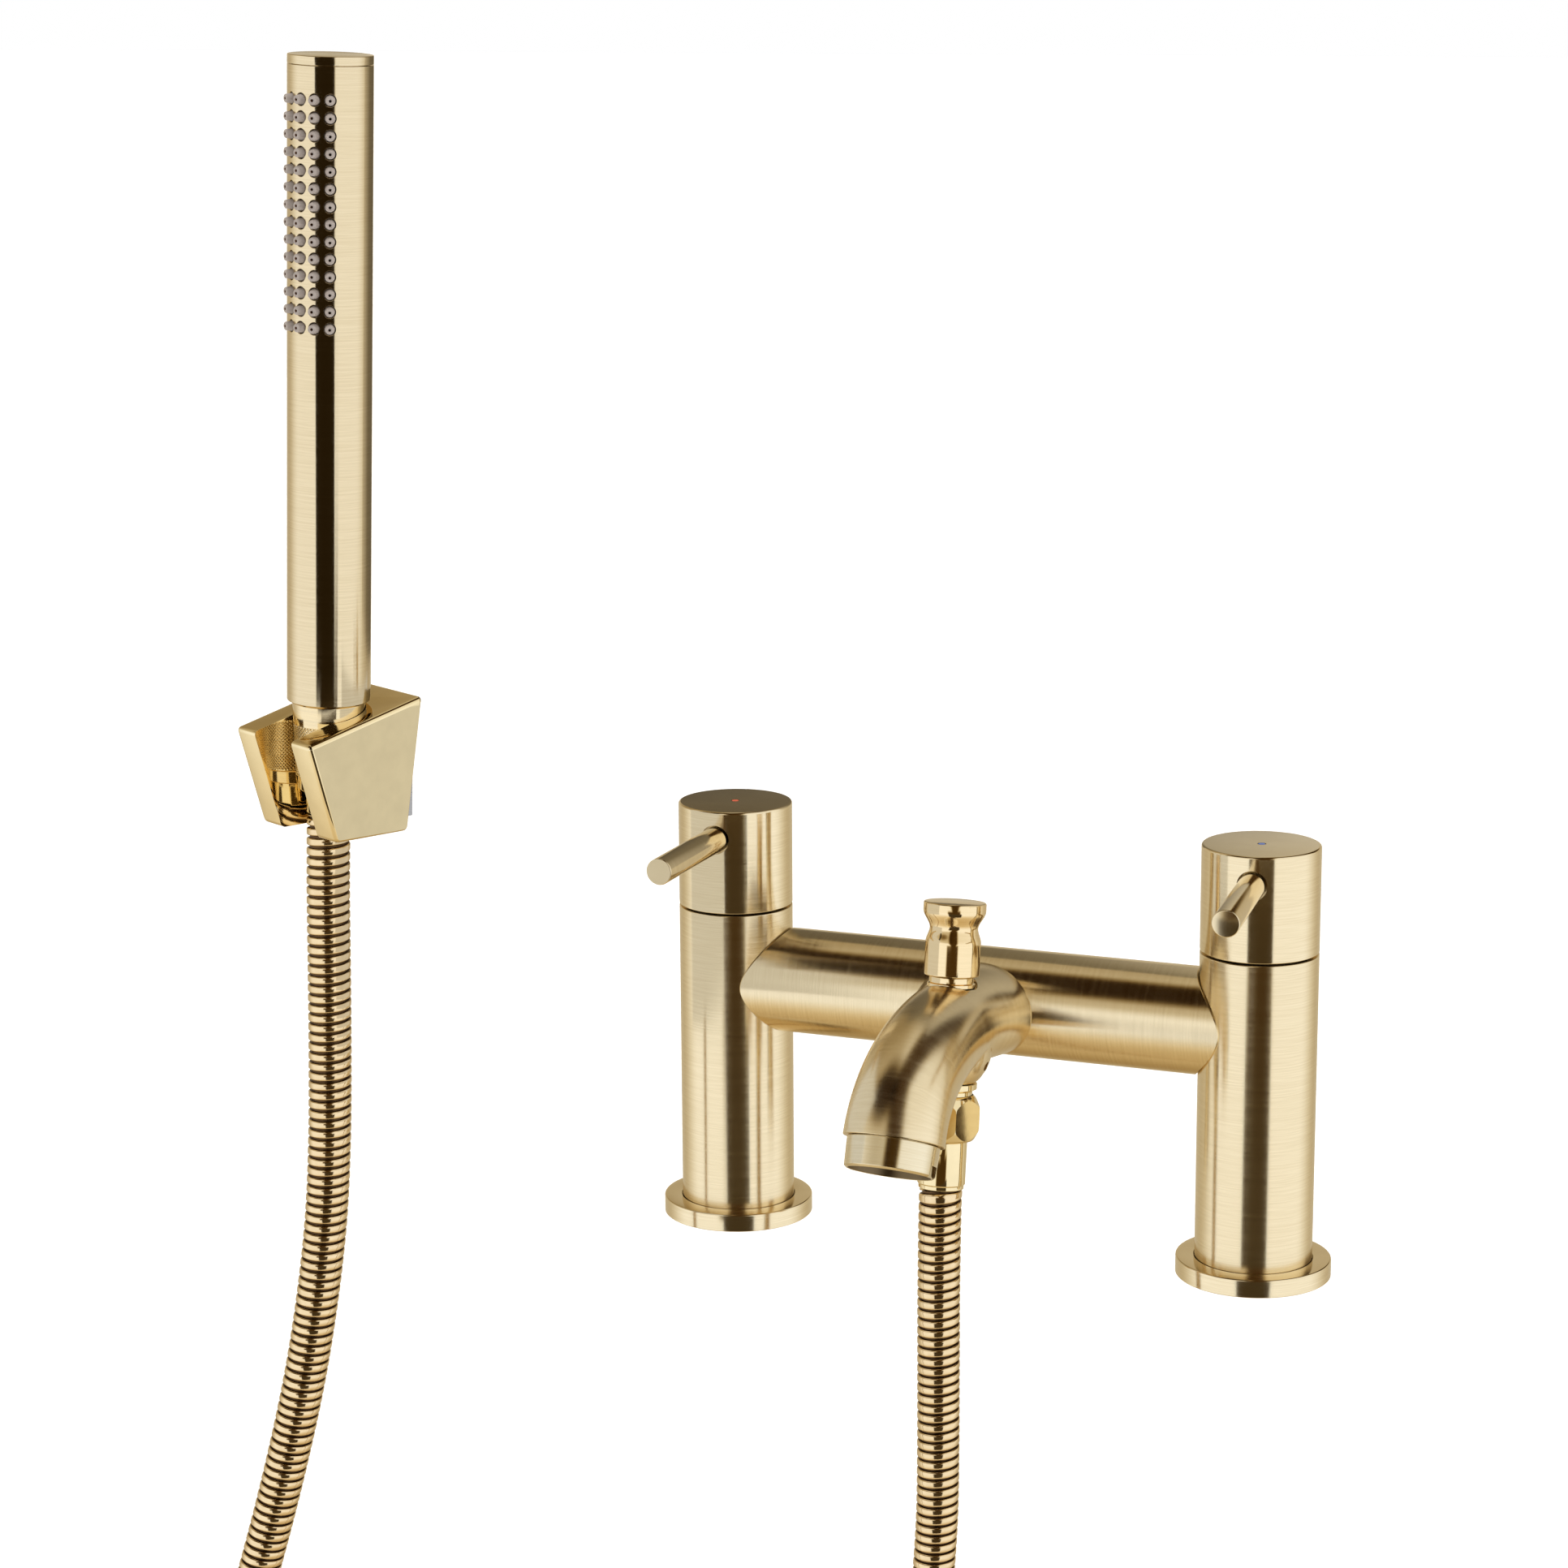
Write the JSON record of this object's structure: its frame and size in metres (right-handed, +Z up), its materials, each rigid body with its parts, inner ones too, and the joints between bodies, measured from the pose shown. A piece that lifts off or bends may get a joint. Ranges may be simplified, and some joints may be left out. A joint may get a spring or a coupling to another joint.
{
  "type": "deck mounted bath shower mixer",
  "caption": "Bath shower mixer with lever handles on two pillars, a curved spout with diverter, metal hose and a stick handset in a fork bracket.",
  "frame": {"origin": "on the bath deck, midway between the axes of the two pillars", "axes": "+Z up, +X from the hot pillar to the cold pillar, -Y towards the bather"},
  "size_m": [0.3593, 0.1601, 0.818],
  "materials": {
    "polished_brass": "polished warm brass",
    "steel": "machined stainless steel",
    "raw_brass": "machined",
    "black_rubber": "moulded",
    "satin_brass": "brushed satin champagne brass",
    "plastic": "moulded",
    "grey_rubber": "moulded silicone",
    "ceramic": "lapped alumina ceramic",
    "red_index": "enamel",
    "blue_index": "enamel",
    "hose_brass": "polished metal hose"
  },
  "bodies": {
    "mixer": {"diverter_collar": "polished_brass", "diverter_o_ring": "black_rubber", "outlet_nipple": "polished_brass", "hose_nut": "polished_brass", "hose_nut_washer": "black_rubber", "hose_lower_insert": "raw_brass", "hose_lower_ferrule": "polished_brass", "aerator_housing": "satin_brass", "aerator_insert": "plastic", "aerator_seal": "black_rubber", "bracket_body": "polished_brass", "bracket_wall_plate": "steel", "bracket_grub_screw": "steel", "hot_pillar": "satin_brass", "hot_inlet_end": "satin_brass", "hot_base_flange": "satin_brass", "hot_flange_seal": "black_rubber", "hot_cartridge_seal": "black_rubber", "hot_cartridge_body": "raw_brass", "hot_fixed_disc": "ceramic", "hot_bridge_union": "raw_brass", "cold_pillar": "satin_brass", "cold_inlet_end": "satin_brass", "cold_base_flange": "satin_brass", "cold_flange_seal": "black_rubber", "cold_cartridge_seal": "black_rubber", "cold_cartridge_body": "raw_brass", "cold_fixed_disc": "ceramic", "cold_bridge_union": "raw_brass", "bridge": "satin_brass", "spout": "satin_brass", "spout_connector": "raw_brass", "shower_hose": "hose_brass"},
    "hot_tap_handle": {"hot_moving_disc": "ceramic", "hot_spindle": "raw_brass", "hot_handle": "satin_brass", "hot_lever": "satin_brass", "hot_handle_grub_screw": "steel", "hot_index_dot": "red_index"},
    "cold_tap_handle": {"cold_moving_disc": "ceramic", "cold_spindle": "raw_brass", "cold_handle": "satin_brass", "cold_lever": "satin_brass", "cold_handle_grub_screw": "steel", "cold_index_dot": "blue_index"},
    "diverter": {"diverter_knob": "polished_brass", "diverter_rod": "steel", "diverter_valve": "raw_brass", "diverter_lower_seal": "black_rubber", "diverter_upper_seal": "black_rubber", "diverter_spring": "steel"},
    "hose_end": {"hose_upper_insert": "raw_brass", "hose_upper_ferrule": "polished_brass"},
    "handset": {"handset_body": "satin_brass", "handset_end_cap": "satin_brass", "handset_nozzle_strip": "grey_rubber", "handset_waterway": "plastic", "handset_inlet": "raw_brass", "handset_cone_nut": "satin_brass", "handset_washer": "black_rubber"}
  },
  "joints": [
    {"name": "hot_handle_turn", "type": "hinge", "parent": "mixer", "child": "hot_tap_handle", "pos_m": [-0.09, 0, 0.125], "axis": [0, 0, -1], "range_deg": [0, 90]},
    {"name": "cold_handle_turn", "type": "hinge", "parent": "mixer", "child": "cold_tap_handle", "pos_m": [0.09, 0, 0.125], "axis": [0, 0, 1], "range_deg": [0, 90]},
    {"name": "diverter_lift", "type": "slide", "parent": "mixer", "child": "diverter", "axis": [0, 0.1392, 0.9903], "range_m": [0, 0.0076], "stiffness_N_per_m": 500, "springref_m": -0.006, "deforming": ["diverter_spring"]},
    {"name": "handset_lift", "type": "slide", "parent": "mixer", "child": "hose_end", "axis": [0.0474, -0.0178, 0.9987], "range_m": [0, 0.06]},
    {"name": "handset_swivel", "type": "hinge", "parent": "hose_end", "child": "handset", "pos_m": [-0.1828, -0.1074, 0.1897], "axis": [0.0474, -0.0178, 0.9987], "continuous": true}
  ]
}
